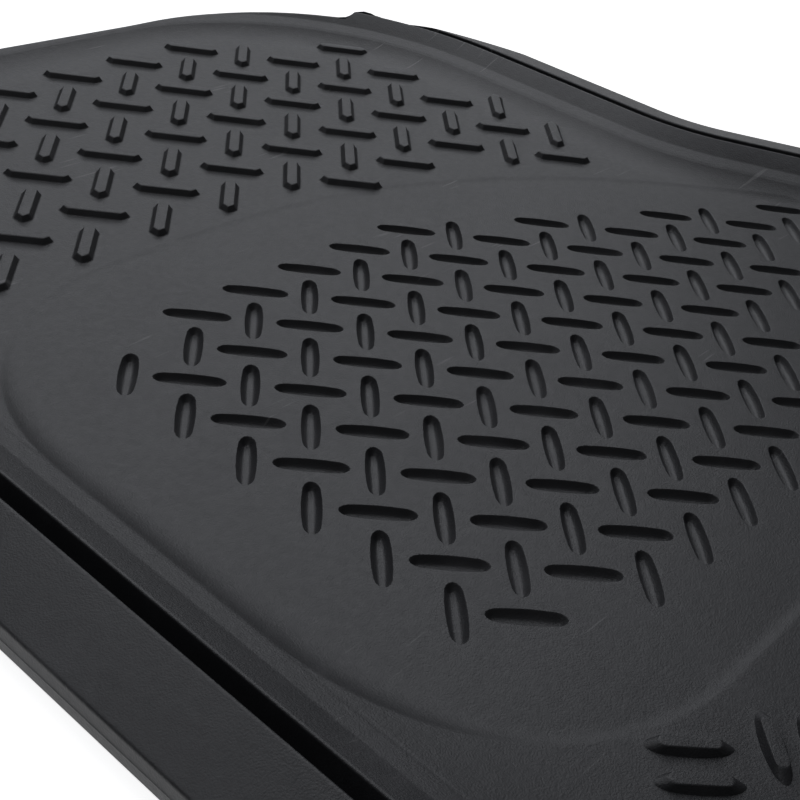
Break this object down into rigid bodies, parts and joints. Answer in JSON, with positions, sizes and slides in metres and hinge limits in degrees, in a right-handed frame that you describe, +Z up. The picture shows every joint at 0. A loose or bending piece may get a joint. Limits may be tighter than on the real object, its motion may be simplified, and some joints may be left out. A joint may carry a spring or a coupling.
{
  "type": "floor mat set",
  "caption": "Set of moulded rubber car floor mats, front and rear, with raised rims, a trim groove, recessed heel-panel tread and raised tread bars.",
  "frame": {"origin": "on the floor under the middle of the laid-out set", "axes": "+Z up, +Y towards the front of the car, +X towards the car's right side"},
  "size_m": [1.092, 1.2156, 0.0155],
  "materials": {
    "moulded_rubber": "matt moulded rubber with a fine grain, charcoal black"
  },
  "bodies": {
    "front_right": {"front_right_mat": "moulded_rubber"},
    "front_left": {"front_left_mat": "moulded_rubber"},
    "rear_right": {"rear_right_mat": "moulded_rubber"},
    "rear_left": {"rear_left_mat": "moulded_rubber"}
  },
  "joints": [
    {"name": "front_left_lift", "type": "slide", "parent": "front_right", "child": "front_left", "axis": [0, 0, 1], "range_m": [0, 0.3]},
    {"name": "rear_right_lift", "type": "slide", "parent": "front_right", "child": "rear_right", "axis": [0, 0, 1], "range_m": [0, 0.3]},
    {"name": "rear_left_lift", "type": "slide", "parent": "front_right", "child": "rear_left", "axis": [0, 0, 1], "range_m": [0, 0.3]}
  ]
}
